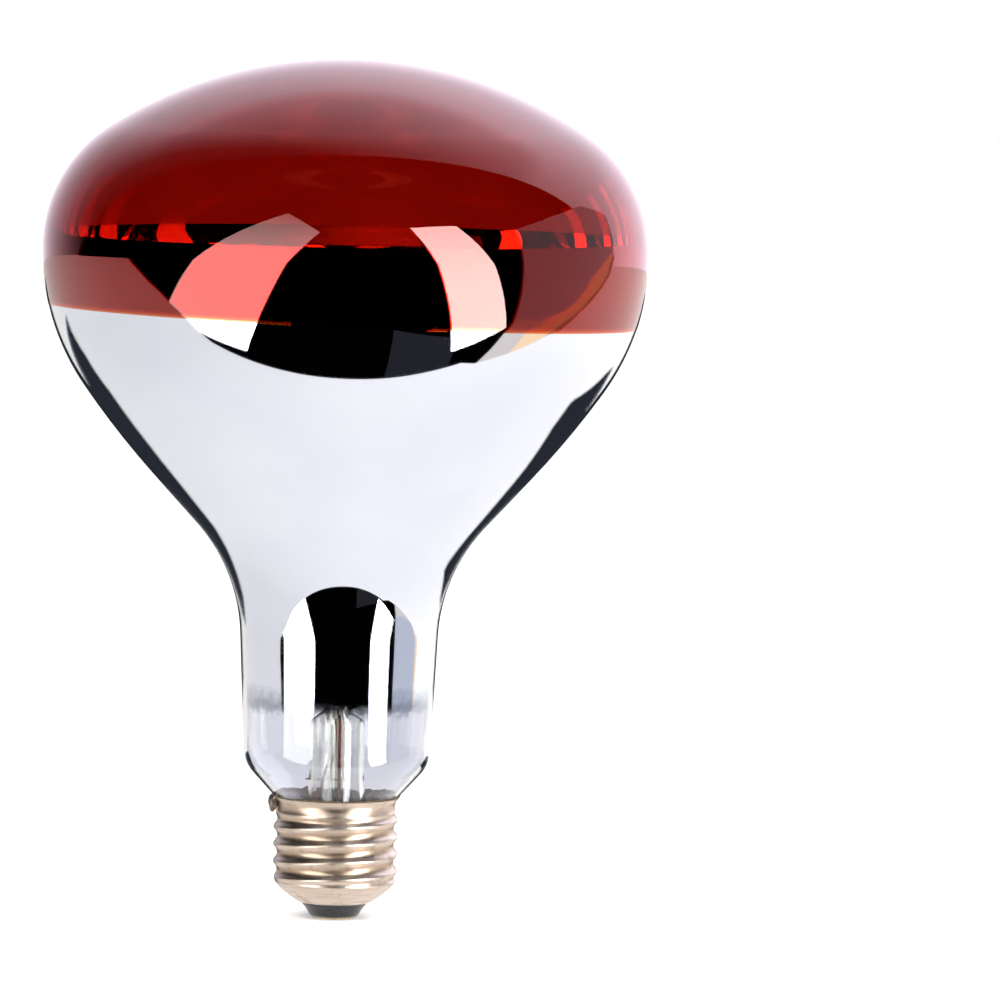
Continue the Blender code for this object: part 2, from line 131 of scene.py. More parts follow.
def makePiece(bm, name, material, smooth=30.0):
    # a finished piece: its bmesh is in millimetres, its object sits at the origin in metres
    bmesh.ops.scale(bm, vec=(mm, mm, mm), verts=bm.verts)
    mesh = bpy.data.meshes.new(name)
    bm.to_mesh(mesh)
    bm.free()
    mesh.materials.append(material)
    mesh.shade_smooth()
    mesh.set_sharp_from_angle(angle=math.radians(smooth))
    piece = bpy.data.objects.new(name, mesh)
    bpy.context.collection.objects.link(piece)
    return piece


def standFor(piece, nodes):
    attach(piece, "root")
    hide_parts(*nodes)
    return piece


def spinLine(points, steps, closed=False):
    # turns a line of (radius, height) points about the lamp's axis
    bm = bmesh.new()
    verts = [bm.verts.new((r, 0.0, z)) for r, z in points]
    edges = [bm.edges.new(pair) for pair in zip(verts, verts[1:])]
    if closed:
        edges.append(bm.edges.new((verts[-1], verts[0])))
    bmesh.ops.spin(bm, geom=verts + edges, axis=(0, 0, 1), cent=(0, 0, 0),
                   angle=math.tau, steps=steps, use_merge=True)
    bmesh.ops.remove_doubles(bm, verts=bm.verts, dist=1e-5)
    bmesh.ops.recalc_face_normals(bm, faces=bm.faces)
    return bm


def giveWall(bm, wall):
    # thickens an open turned skin towards the axis, its outside staying where it is
    bmesh.ops.recalc_face_normals(bm, faces=bm.faces)
    middle = Vector((0.0, 0.0, sum(v.co.z for v in bm.verts) / len(bm.verts)))
    if sum(f.normal.dot(f.calc_center_median() - middle) for f in bm.faces) < 0:
        bmesh.ops.reverse_faces(bm, faces=bm.faces)
    bmesh.ops.solidify(bm, geom=bm.faces[:], thickness=wall)


def pushOut(vert, lift):
    # moves a point so many mm out from the lamp's axis
    radius = math.hypot(vert.co.x, vert.co.y)
    if radius > 1e-6:
        vert.co.x *= (radius + lift) / radius
        vert.co.y *= (radius + lift) / radius


def ringPoint(degrees, radius, height):
    angle = math.radians(degrees)
    return (radius * math.cos(angle), radius * math.sin(angle), height)


def makeWire(name, points, radius, material, kind="BEZIER", round=3):
    # a round wire through points in mm: a smooth one, or one that follows every point
    curve = bpy.data.curves.new(name, "CURVE")
    curve.dimensions = "3D"
    curve.bevel_depth = radius * mm
    curve.bevel_resolution = round
    curve.resolution_u = 10
    curve.use_fill_caps = True
    spline = curve.splines.new(kind)
    if kind == "BEZIER":
        spline.bezier_points.add(len(points) - 1)
        for knot, point in zip(spline.bezier_points, points):
            knot.co = Vector(point) * mm
            knot.handle_left_type = knot.handle_right_type = "AUTO"
    else:
        spline.points.add(len(points) - 1)
        for knot, point in zip(spline.points, points):
            knot.co = (*(Vector(point) * mm), 1.0)
    curve.materials.append(material)
    piece = bpy.data.objects.new(name, curve)
    bpy.context.collection.objects.link(piece)
    return piece


cameraSettings = {
    "place": (33.0, -1600.0, 208.0),     # mm, from the foot of the lamp
    "aim": (33.17, 0.0, 88.55),
    "roll": 1.15,                        # degrees; the lamp leans a little to the right
    "lens": 275.9,
}


def makeCamera(s):
    data = bpy.data.cameras.new("camera")
    camera = bpy.data.objects.new("camera", data)
    bpy.context.collection.objects.link(camera)
    place, aim = Vector(s["place"]) * mm, Vector(s["aim"]) * mm
    camera.location = place
    camera.rotation_mode = "QUATERNION"
    camera.rotation_quaternion = ((aim - place).to_track_quat("-Z", "Y")
                                  @ Quaternion((0, 0, 1), math.radians(s["roll"])))
    data.lens = s["lens"]
    data.clip_start, data.clip_end = 0.01, 50.0
    bpy.context.scene.camera = camera


makeCamera(cameraSettings)
print("camera placed")


beltHeight = 130.0                       # mm; where the mirrored room is looked out from
stripFoot = [(68, -43.5), (75.5, -40), (80, -37.5), (83, -36), (91.5, -28.5), (98, -21.5),
             (109.5, -12), (118, -5.5), (122, 1)]

studio = {
    "floorColours": ("F6F6F8", "FAFAFB"), "floorSize": 6.0, "floorGlow": 0.08,
    "skyColour": "FFFFFF", "throughColour": "E4E4EC",
    # name: place in m, power in W; both are square soft lights this many metres wide
    "lights": {"keyLight": ((-1.2, -1.4, 1.8), 30.0), "fillLight": ((1.4, -1.0, 1.4), 18.0)},
    "lightSize": 1.2,
    # what the polished glass mirrors: a pale tent, a table, a dark room on the camera's side
    "domeColour": "EFF0FF", "domeRadius": 5.0, "domeSlope": (1.12, 1.526, -0.211),
    "domeGlow": [(-0.75, 0.0), (-0.28, 0.1), (0.0, 0.36), (2.2, 2.9)],
    "domeShade": [(0.0, 0.85), (0.45, 0.88), (0.68, 1.2), (0.76, 0.95), (1.0, 0.92)],
    "roomColour": "020203", "roomRadius": 4.6, "roomTilt": 0.5, "roomReach": 0.47,
    "tableColour": "FFFCFA", "tableHeight": -112.0,
    "tableGlow": [(-4.0, 0.78), (-0.3, 0.94), (0.02, 1.14), (1.0, 1.4)],
    "tableEdge": [(-4800, -100), (-1850, -258), (-909, -283), (-552, -259), (-300, -206),
                  (-150, -199), (0, -190), (154, -176), (227, -166), (252, -142), (302, -121),
                  (384, -81), (498, -17), (588, 46), (831, 191), (1398, 602), (3800, 2430),
                  (0, 4850), (-4000, 2600)],
    # a dark patch on the table and, nearer the lamp, a low dark upright board
    "backdropColour": "2A2D35", "backdropLift": 1.0,
    "backdrop": [(-198, 300), (-60, 330), (80, 365), (185, 396), (215, 372), (262, 318),
                 (290, 330), (330, 470), (385, 700), (410, 900), (-730, 900), (-590, 730),
                 (-445, 495), (-352, 405), (-300, 360), (-250, 320)],
    "boardAway": 400.0, "boardAcross": (-178.0, 150.0), "boardHeights": (1.0, 103.0),
    # corners as seen from the belt: degrees round from the camera's side, degrees upwards
    "boxDistance": 0.85,
    "leftBox": [(-22.5, 34), (-8.7, 21.1), (-43.5, -41), (-72, -21)],
    "leftGlow": [(0.2, 4.6), (0.6, 1.7)],
    "rightBox": [(25.4, 24.8), (43.9, 25.3), (68, -25.7), (49.5, -38.8)],
    "rightGlow": [(0.0, 15.0), (0.5, 11.0)],
    "cards": {
        # name: colour, glow, distance in m, lower row, upper row
        "tanEdge": ("C8B49A", 0.9, 4.5, [(a + 1, e - 1.5) for a, e in stripFoot], stripFoot),
        "warmStrip": ("FFDDB0", 1.25, 4.4, stripFoot[2:],
                      [(82, -27), (84.5, -25), (87.5, -23), (97, -14), (105, -8), (114, -3),
                       (120, 1)]),
        "paleStrip": ("FFF4EC", 0.85, 4.4,
                      [*stripFoot[:3], (82, -27), (87.5, -23), (97, -14)],
                      [(68.3, -42), (71, -31.5), (74, -19.5), (83, -20.5), (90, -19),
                       (96.5, -14.5)]),
        "greyCard": ("28282D", 1.0, 4.3, [(26, -62), (56, -50)], [(22, -33), (51, -34)]),
        "sideWall": ("DCE0EC", 0.86, 4.5,
                     [(73, -27), (88.6, -23), (110.8, -6), (122, 0)],
                     [(70, 20), (90, 24), (112, 24), (124, 16)]),
    },
}


def throughStops(tree, value, stops):
    # a value read off a line of (place, height) stops
    low, high = stops[0][0], stops[-1][0]
    top = max(height for at, height in stops)
    placed = addNode(tree, "ShaderNodeMapRange", None,
                     {"Value": value, "From Min": low, "From Max": high})
    ramp = addNode(tree, "ShaderNodeValToRGB", None, {0: placed.outputs[0]})
    for at, height in stops[1:-1]:
        ramp.color_ramp.elements.new((at - low) / (high - low))
    for element, (at, height) in zip(ramp.color_ramp.elements, stops):
        element.color = (height / top, height / top, height / top, 1.0)
    return addNode(tree, "ShaderNodeMath", {"operation": "MULTIPLY"},
                   {0: ramp.outputs[0], 1: top}).outputs[0]


def afterBounce(tree, kind):
    path = addNode(tree, "ShaderNodeLightPath")
    return addNode(tree, "ShaderNodeMath", {"operation": "GREATER_THAN"},
                   {0: path.outputs[kind], 1: 0.5}).outputs[0]


def mirroredOnly(name, colour, strength=1.0, slope=(0.0, 0.0, 1.0), shade=None, reach=1.0):
    # a glow that only shows in a mirrored ray: straight, or through clear glass, it isn't there
    made = bpy.data.materials.new(name)
    made.use_nodes = True
    tree = made.node_tree
    tree.nodes.clear()
    clear = addNode(tree, "ShaderNodeBsdfTransparent")
    where = addNode(tree, "ShaderNodeTexCoord").outputs["Object"]
    if isinstance(strength, list):       # brighter one way, by distance in metres
        way = addNode(tree, "ShaderNodeVectorMath", {"operation": "DOT_PRODUCT"},
                      {0: where, 1: slope})
        strength = throughStops(tree, way.outputs["Value"], strength)
    if shade:                            # and banded by height
        height = addNode(tree, "ShaderNodeVectorMath", {"operation": "DOT_PRODUCT"},
                         {0: where, 1: (0.0, 0.0, 1.0 / reach)})
        bands = throughStops(tree, height.outputs["Value"], shade)
        strength = addNode(tree, "ShaderNodeMath", {"operation": "MULTIPLY"},
                           {0: strength, 1: bands}).outputs[0]
    glow = addNode(tree, "ShaderNodeEmission", None,
                   {"Color": hexColour(colour), "Strength": strength})
    mix = addNode(tree, "ShaderNodeMixShader", None,
                  {0: afterBounce(tree, "Glossy Depth"), 1: clear.outputs[0],
                   2: glow.outputs[0]})
    addNode(tree, "ShaderNodeOutputMaterial", None, {"Surface": mix.outputs[0]})
    made.cycles.emission_sampling = "NONE"
    return made


def stagePiece(bm, name, material):
    mesh = bpy.data.meshes.new(name)
    bm.to_mesh(mesh)
    bm.free()
    mesh.materials.append(material)
    piece = bpy.data.objects.new(name, mesh)
    bpy.context.collection.objects.link(piece)
    piece.visible_camera = False
    piece.visible_diffuse = False
    piece.visible_shadow = False
    return piece


def card(name, rows, material):
    # a strip between two rows of corners, in metres
    bm = bmesh.new()
    lower, upper = ([bm.verts.new(c) for c in row] for row in rows)
    for i in range(len(lower) - 1):
        bm.faces.new((lower[i], lower[i + 1], upper[i + 1], upper[i]))
    return stagePiece(bm, name, material)


def lookingOut(around, up, distance):
    # a point in a direction from the lamp's belt; around is 0 towards the camera, + to the right
    a, e = math.radians(around), math.radians(up)
    return (distance * math.sin(a) * math.cos(e), -distance * math.cos(a) * math.cos(e),
            beltHeight * mm + distance * math.sin(e))


def makeFloor(s):
    # the paper is lit and white; through the glass it is a shade greyer; mirrored, it is the table
    paper, tree, shader = newMaterial("paperSweep", Roughness=0.9,
                                      Emission_Color=hexColour("FFFFFF"),
                                      Emission_Strength=s["floorGlow"])
    uneven(tree, shader, 1.2, s["floorColours"], None, 0.02)
    shade = addNode(tree, "ShaderNodeEmission", None, {"Color": hexColour(s["throughColour"])})
    clear = addNode(tree, "ShaderNodeBsdfTransparent")
    direct = addNode(tree, "ShaderNodeMixShader", None,
                     {0: afterBounce(tree, "Transmission Depth"), 1: shader.outputs[0],
                      2: shade.outputs[0]})
    mix = addNode(tree, "ShaderNodeMixShader", None,
                  {0: afterBounce(tree, "Glossy Depth"), 1: direct.outputs[0],
                   2: clear.outputs[0]})
    tree.links.new(mix.outputs[0], tree.nodes["Material Output"].inputs[0])
    bm = bmesh.new()
    bmesh.ops.create_grid(bm, x_segments=1, y_segments=1, size=s["floorSize"])
    floor = stagePiece(bm, "floor", paper)
    floor.visible_camera = floor.visible_diffuse = floor.visible_shadow = True


def flatCard(name, outline, height, material):
    bm = bmesh.new()
    face = bm.faces.new([bm.verts.new((x * mm, y * mm, height * mm)) for x, y in outline])
    bmesh.ops.triangulate(bm, faces=[face])
    return stagePiece(bm, name, material)


def makeMirroredRoom(s):
    reach = s["domeRadius"]
    dome = mirroredOnly("paleTent", s["domeColour"], s["domeGlow"],
                        [c / reach for c in s["domeSlope"]], s["domeShade"], reach)
    bm = bmesh.new()
    bmesh.ops.create_uvsphere(bm, u_segments=64, v_segments=32, radius=reach)
    stagePiece(bm, "paleTent", dome)

    flatCard("tableTop", s["tableEdge"], s["tableHeight"],
             mirroredOnly("tableTop", s["tableColour"], s["tableGlow"], (1.0, 0.0, 0.0)))
    dark = mirroredOnly("backdrop", s["backdropColour"])
    flatCard("backdrop", s["backdrop"], s["tableHeight"] + s["backdropLift"], dark)
    card("backBoard", [[Vector((x, s["boardAway"], z)) * mm for x in s["boardAcross"]]
                       for z in s["boardHeights"]], dark)

    bm = bmesh.new()
    radius = s["roomRadius"]
    bmesh.ops.create_uvsphere(bm, u_segments=96, v_segments=48, radius=radius)
    normal = Vector((0.0, 1.0, s["roomTilt"]))
    bmesh.ops.bisect_plane(bm, geom=bm.verts[:] + bm.edges[:] + bm.faces[:],
                           plane_co=normal.normalized() * (s["roomReach"] * radius / normal.length),
                           plane_no=normal, clear_outer=True)
    bmesh.ops.translate(bm, vec=(0.0, 0.0, beltHeight * mm), verts=bm.verts)
    stagePiece(bm, "darkRoom", mirroredOnly("darkRoom", s["roomColour"]))

    for side in ("left", "right"):
        corners = [lookingOut(a, e, s["boxDistance"]) for a, e in s[side + "Box"]]
        card(side + "Box", [corners[:2], corners[:1:-1]],
             mirroredOnly(side + "Box", "FFFFFF", s[side + "Glow"]))
    for name, (colour, glow, distance, *rows) in s["cards"].items():
        card(name, [[lookingOut(a, e, distance) for a, e in row] for row in rows],
             mirroredOnly(name, colour, glow))


def makeLight(s):
    world = bpy.data.worlds.new("sky")
    bpy.context.scene.world = world
    world.use_nodes = True
    tree = world.node_tree
    tint = addNode(tree, "ShaderNodeMix", {"data_type": "RGBA"},
                   {0: afterBounce(tree, "Transmission Depth"), 6: hexColour(s["skyColour"]),
                    7: hexColour(s["throughColour"])})
    tree.links.new(tint.outputs[2], tree.nodes["Background"].inputs["Color"])
    for name, (place, power) in s["lights"].items():
        lamp = bpy.data.lights.new(name, "AREA")
        lamp.energy, lamp.size = power, s["lightSize"]
        light = bpy.data.objects.new(name, lamp)
        bpy.context.collection.objects.link(light)
        light.location = place
        light.rotation_euler = (-Vector(place)).to_track_quat("-Z", "Y").to_euler()
        light.visible_glossy = False
        light.visible_transmission = False
        light.visible_camera = False

    scene = bpy.context.scene
    scene.view_settings.view_transform = "Standard"
    scene.view_settings.look = "None"
    scene.cycles.max_bounces = 32
    scene.cycles.transmission_bounces = 28
    scene.cycles.glossy_bounces = 12
    scene.cycles.transparent_max_bounces = 24
    scene.cycles.use_denoising = True
    scene.cycles.blur_glossy = 0.0
    scene.cycles.sample_clamp_indirect = 0.0


makeFloor(studio)
makeMirroredRoom(studio)
makeLight(studio)
print("studio lit")


bulb = {
    # one outline that the glass, the mirror film and the lacquer share, from the top down:
    # arcs as (radius, degrees), straight stretches as a length
    "height": 180.2,
    "crown": (91.0, 33.0), "shoulder": (30.4, 57.0), "belt": (50.0, 35.0),
    "flank": (181.0, 7.4), "cone": 14.0, "throat": (-36.6, 39.7),
    "neck": 24.5, "heel": (7.8, 39.8), "seal": 11.9,
    "degreesPerRow": 1.5, "rowsPerStraight": 6, "steps": 192,
    "glassInset": 0.05, "glassWall": 0.9,
    "mirrorGap": 0.02, "mirrorWall": 0.02, "mirrorTop": 143.3, "mirrorBottom": 43.2,
    # the film's ragged end: its heights, its grain, how much height outweighs grain, and the
    # sums of both at which the film begins, is whole, is bare metal and is at its greyest
    "fringe": (43.6, 52.0), "fringeGrain": 2.4, "fringeClimb": 1.55,
    "fringeCover": (0.42, 1.25), "fringeBright": (1.7, 0.7),
    "lacquerWall": 0.07, "lacquerEdge": 126.4, "lacquerFall": (0.0266, 0.014),
    "lacquerFade": 1.1, "lacquerSpare": 6.0,
}


def bulbLine(s, inset):
    # from the middle of the face, down the outside, to the seal inside the cap
    place, heading = Vector((0.0, s["height"] - inset)), 0.0
    points = [tuple(place)]
    for key in ("crown", "shoulder", "belt", "flank", "cone", "throat", "neck", "heel", "seal"):
        if not isinstance(s[key], tuple):
            along = s[key] * Vector((math.cos(heading), -math.sin(heading)))
            for _ in range(s["rowsPerStraight"]):
                place = place + along / s["rowsPerStraight"]
                points.append(tuple(place))
            continue
        radius, sweep = s[key]
        count = max(2, round(sweep / s["degreesPerRow"]))
        turn = math.radians(sweep) / count * (1 if radius > 0 else -1)
        for _ in range(count):
            place = place + (radius - inset) * Vector(
                (math.sin(heading + turn) - math.sin(heading),
                 math.cos(heading + turn) - math.cos(heading)))
            heading += turn
            points.append(tuple(place))
    return points


def between(points, high, low):
    # the stretch of a falling line between two heights, cut exactly at both
    kept = []
    for (r0, z0), (r1, z1) in zip(points, points[1:]):
        for cut in (high, low):
            if z1 < cut < z0:
                kept.append((r0 + (r1 - r0) * (z0 - cut) / (z0 - z1), cut))
        if low < z1 < high:
            kept.append((r1, z1))
    return kept


def makeBulb(s):
    # soda-lime glass, blown in a mould: colourless, with a faint slow wave in what it mirrors
    glass, tree, shader = newMaterial("sodaLimeGlass", IOR=1.52, Transmission_Weight=1.0)
    uneven(tree, shader, 34.0, ("F7F8FC", "F4F6FA"), (0.0, 0.004), 0.02, detail=1.0)
    outer = bulbLine(s, s["glassInset"])
    inner = bulbLine(s, s["glassInset"] + s["glassWall"])
    piece = makePiece(spinLine(outer + inner[::-1], s["steps"]), "glassBulb", glass)
    standFor(piece, ["glass_bulb"])


def makeMirror(s):
    # evaporated aluminium: a bright neutral mirror that thins to rags above the clear neck
    film, tree, shader = newMaterial("evaporatedAluminium", Metallic=1.0)
    place = uneven(tree, shader, 22.0, ("F4F5F8", "EEF0F5"), (0.008, 0.02), 0.012, detail=2.0)
    rags = addNode(tree, "ShaderNodeTexNoise", None,
                   {"Vector": place, "Scale": 1.0 / (s["fringeGrain"] * mm), "Detail": 6.0,
                    "Roughness": 0.68})
    climb = along(tree, place, (0.0, 0.0, 1.0), *s["fringe"])
    thick = addNode(tree, "ShaderNodeMath", {"operation": "MULTIPLY_ADD"},
                    {0: climb, 1: s["fringeClimb"], 2: rags.outputs[0]})
    start, whole = s["fringeCover"]
    cover = addNode(tree, "ShaderNodeMapRange", {"interpolation_type": "SMOOTHSTEP"},
                    {"Value": thick.outputs[0], "From Min": start, "From Max": whole})
    tree.links.new(cover.outputs[0], shader.inputs["Alpha"])
    bright, grey = s["fringeBright"]
    thin = addNode(tree, "ShaderNodeMapRange", None,
                   {"Value": thick.outputs[0], "From Min": bright, "From Max": grey})
    layOver(tree, shader, thin.outputs[0], "8D97A6")
    depth = s["glassInset"] + s["glassWall"] + s["mirrorGap"]
    outer = between(bulbLine(s, depth), s["mirrorTop"], s["mirrorBottom"])
    inner = between(bulbLine(s, depth + s["mirrorWall"]), s["mirrorTop"], s["mirrorBottom"])
    piece = makePiece(spinLine(outer + inner[::-1], s["steps"], closed=True), "mirrorFilm", film)
    standFor(piece, ["mirror_film"])


def makeLacquer(s):
    # fired ruby lacquer: clear red all through, glossy as the glass, thinner and lighter at its
    # edge; its wall reaches just into the glass, so that the two mirror light as one skin
    coat, tree, shader = newMaterial("rubyLacquer", IOR=1.5, Transmission_Weight=1.0)
    place = uneven(tree, shader, 26.0, ("CB452C", "C33F27"), (0.0, 0.004), 0.02, detail=1.0)
    fallX, fallY = s["lacquerFall"]
    edge = along(tree, place, (fallX, fallY, 1.0), s["lacquerEdge"] + s["lacquerFade"],
                 s["lacquerEdge"])
    layOver(tree, shader, edge, "F08A50")
    line = [(r, z) for r, z in bulbLine(s, 0.0) if z > s["lacquerEdge"] - s["lacquerSpare"]]
    bm = spinLine(line, s["steps"])
    bmesh.ops.bisect_plane(bm, geom=bm.verts[:] + bm.edges[:] + bm.faces[:],
                           plane_co=(0.0, 0.0, s["lacquerEdge"]), plane_no=(fallX, fallY, 1.0),
                           clear_inner=True)
    giveWall(bm, s["lacquerWall"])
    standFor(makePiece(bm, "rubyLacquer", coat), ["ruby_lacquer"])


makeBulb(bulb)
makeMirror(bulb)
makeLacquer(bulb)
print("bulb, mirror and lacquer made")


cap = {
    "rim": [(13.3, 25.5), (13.22, 25.25), (12.85, 24.9), (12.6, 24.5), (12.5, 24.0), (12.48, 23.2),
            (12.55, 22.6)],
    "wall": 0.25,
    "crest": 13.07, "root": 12.15, "pitch": 25.4 / 7, "crestHeight": 19.95, "peak": 0.15,
    "threadTop": 22.4, "threadFoot": 7.6, "threadFade": 1.6,
    "lip": (7.3, 3.3), "flatness": 1.7,   # at 2 the shoulder would be a straight cone
    "grooveRadii": (12.72, 12.2), "grooveHeights": (7.4, 8.6),
    "stainGrain": 3.5, "stainSpread": (0.56, 0.74), "stainDepth": 0.7,
    "rowHeight": 0.2, "steps": 160,
    "insulator": [(1.2, 5.2), (5.8, 5.2), (7.75, 3.95), (7.0, 3.9), (6.95, 3.2), (6.7, 2.85),
                  (6.15, 2.2), (5.7, 1.55), (5.4, 1.05), (5.15, 0.65), (4.9, 0.42), (4.6, 0.3),
                  (4.3, 0.34), (4.25, 0.75), (1.2, 0.8)],
    "contact": [(2.3, 0.5), (4.0, 0.5), (4.0, 0.2), (3.94, 0.08), (3.8, 0.0), (2.75, 0.0),
                (2.5, 0.05), (2.3, 0.2)],
    "centreSolder": [(0.0, 0.5), (2.05, 0.5), (2.25, 0.32), (2.35, 0.14), (2.0, 0.05), (1.4, 0.02),
                     (0.8, 0.06), (0.0, 0.14)],
    "solderAngle": 192.0, "solderAt": (13.45, 24.3), "solderSize": (0.95, 1.5, 1.9),
    "leadTail": [(13.3, 25.1), (13.62, 25.72), (13.98, 25.5), (14.0, 24.6)],
}


def threadLift(s, angle, height):
    # how far the rolled right-hand thread stands out, at an angle from +X and a height
    fade = min((s["threadTop"] - height) / s["threadFade"],
               (height - s["threadFoot"]) / s["threadFade"], 1.0)
    if fade <= 0.0:
        return 0.0
    turn = math.tau * (height - s["crestHeight"]) / s["pitch"] - (angle - 1.5 * math.pi)
    wave = (math.cos(turn) + s["peak"] * math.cos(2 * turn)) / (1 + s["peak"])
    return fade * fade * (3 - 2 * fade) * (s["crest"] - s["root"]) / 2 * wave


def makeShell(s):
    # nickel over rolled brass: warm bright metal, rubbed on its crests, brown in its grooves
    nickelled, tree, shader = newMaterial("nickelledBrass", Metallic=1.0)
    place = uneven(tree, shader, 5.0, ("DCCCBE", "C6B4A4"), (0.26, 0.42), 0.006,
                   stretch=(1.0, 1.0, 14.0))
    groove = addNode(tree, "ShaderNodeMath", {"operation": "MULTIPLY"},
                     {0: outFromAxis(tree, place, *s["grooveRadii"]),
                      1: along(tree, place, (0.0, 0.0, 1.0), *s["grooveHeights"])})
    layOver(tree, shader, groove.outputs[0], "AD957E")
    stains = addNode(tree, "ShaderNodeTexNoise", None,
                     {"Vector": place, "Scale": 1.0 / (s["stainGrain"] * mm), "Detail": 5.0})
    none, full = s["stainSpread"]
    stained = addNode(tree, "ShaderNodeMapRange", None,
                      {"Value": stains.outputs[0], "From Min": none, "From Max": full,
                       "To Max": s["stainDepth"]})
    layOver(tree, shader, stained.outputs[0], "8E7464")
    plain = (s["crest"] + s["root"]) / 2
    rows = round((s["threadTop"] - s["threadFoot"]) / s["rowHeight"])
    line = s["rim"] + [(plain, s["threadTop"] - (s["threadTop"] - s["threadFoot"]) * i / rows)
                       for i in range(rows + 1)]
    lip, lipHeight = s["lip"]
    drop = s["threadFoot"] - lipHeight
    for degrees in range(6, 91, 6):
        a = math.radians(degrees)
        line.append((lip + (plain - lip) * max(math.cos(a), 0.0) ** s["flatness"],
                     s["threadFoot"] - drop * math.sin(a) ** s["flatness"]))
    bm = spinLine(line, s["steps"])
    for vert in bm.verts:
        pushOut(vert, threadLift(s, math.atan2(vert.co.y, vert.co.x), vert.co.z))
    giveWall(bm, s["wall"])
    standFor(makePiece(bm, "screwShell", nickelled, smooth=50.0), ["screw_shell"])


def makeBase(s):
    # vitrite, black glass poured into the cap: near black, waxy, with a few pits
    vitrite, tree, shader = newMaterial("blackVitrite", IOR=1.52)
    uneven(tree, shader, 1.1, ("141417", "202024"), (0.22, 0.4), 0.03)
    standFor(makePiece(spinLine(s["insulator"], 96, closed=True), "baseInsulator", vitrite),
             ["base_insulator"])

    # stamped brass disc: yellow, with turning marks and a dull bloom
    brass, tree, shader = newMaterial("stampedBrass", Metallic=1.0)
    uneven(tree, shader, 0.9, ("C9A45A", "A9843F"), (0.22, 0.42), 0.01)
    standFor(makePiece(spinLine(s["contact"], 96, closed=True), "centreContact", brass),
             ["centre_contact"])

    # tin-lead solder, left as it froze: grey, softly shining, wrinkled
    solder, tree, shader = newMaterial("tinLeadSolder", Metallic=1.0)
    uneven(tree, shader, 0.7, ("9C9188", "6F645C"), (0.38, 0.6), 0.03)
    bm = spinLine(s["centreSolder"], 64)
    for vert in bm.verts:
        if vert.co.z < 0.45:
            vert.co.z = max(0.01, vert.co.z + 0.07 * noise.noise(vert.co * 1.1))
            pushOut(vert, 0.12 * noise.noise(vert.co * 0.9 + Vector((5.0, 0.0, 0.0))))
    standFor(makePiece(bm, "centreSolder", solder, smooth=60.0), ["centre_solder"])

    bm = bmesh.new()
    bmesh.ops.create_uvsphere(bm, u_segments=40, v_segments=28, radius=1.0)
    for vert in bm.verts:
        vert.co *= 1.0 + 0.22 * noise.noise(vert.co * 1.3 + Vector((0.0, 3.0, 0.0)))
        vert.co.y *= 1.0 + 0.35 * vert.co.z      # broad where it was dabbed on, thin where it ran
    bmesh.ops.scale(bm, vec=s["solderSize"], verts=bm.verts)
    radius, height = s["solderAt"]
    bmesh.ops.translate(bm, vec=(radius, 0.0, height), verts=bm.verts)
    bmesh.ops.rotate(bm, matrix=Matrix.Rotation(math.radians(s["solderAngle"]), 3, "Z"),
                     verts=bm.verts)
    standFor(makePiece(bm, "sideSolder", solder, smooth=80.0), ["side_solder"])


cement = {
    "outline": [(13.36, 25.95), (13.5, 25.85), (13.42, 25.62), (13.1, 25.52), (12.75, 24.95),
                (12.2, 24.3), (12.15, 22.9), (11.5, 22.3), (11.5, 18.5), (10.2, 18.5),
                (9.85, 21.3)],
    "seat": (9.75, 21.75), "steps": 160, "beadFoot": 25.55, "crumble": 0.35,
    "crumbleGrain": 0.55, "crumbleOut": 0.9,
}


def makeCement(s):
    # phenolic basing cement, baked: dark brown, dead matt and granular where it squeezed out
    baked, tree, shader = newMaterial("basingCement", IOR=1.5)
    uneven(tree, shader, 0.8, ("7A6A58", "453A2E"), (0.8, 0.95), 0.12)
    (r0, z0), (r1, z1) = s["outline"][0], s["seat"]
    slope = [(r1 + (r0 - r1) * i / 12, z1 + (z0 - z1) * i / 12) for i in range(12)]
    bm = spinLine(s["outline"] + slope, s["steps"], closed=True)
    for vert in bm.verts:
        if vert.co.z > s["beadFoot"]:            # the bead that squeezed out over the rim
            flat = Vector((vert.co.x, vert.co.y, 0.0))
            lift = s["crumble"] * noise.noise(flat * s["crumbleGrain"])
            vert.co.z += lift
            pushOut(vert, s["crumbleOut"] * lift)
    standFor(makePiece(bm, "basingCement", baked, smooth=60.0), ["basing_cement"])


makeShell(cap)
makeBase(cap)
makeCement(cement)
print("cap made")


stem = {
    "flare": 5.8, "flareWall": 0.9, "flareFoot": (8.6, 21.3), "bell": 9.0, "flareTop": 44.32,
    "flattenFrom": 41.0,
    "press": (13.0, 4.2), "pressSpan": (44.34, 53.0), "pressBevel": 1.7,
    "exhaust": 1.9, "exhaustWall": 0.6, "exhaustTip": 12.5,
    "leadSpacing": 3.6, "sealWire": 0.25, "sealBore": 0.27,
    "arbor": 1.6, "arborSpan": (53.2, 90.0), "button": 3.2,
    "mountTurn": -80.0,                  # the press stands edge on to the front
}


def applied(piece):
    # makes a piece's modifiers its own mesh
    graph = bpy.context.evaluated_depsgraph_get()
    finished = bpy.data.meshes.new_from_object(piece.evaluated_get(graph))
    piece.modifiers.clear()
    rough, piece.data = piece.data, finished
    bpy.data.meshes.remove(rough)
    return piece


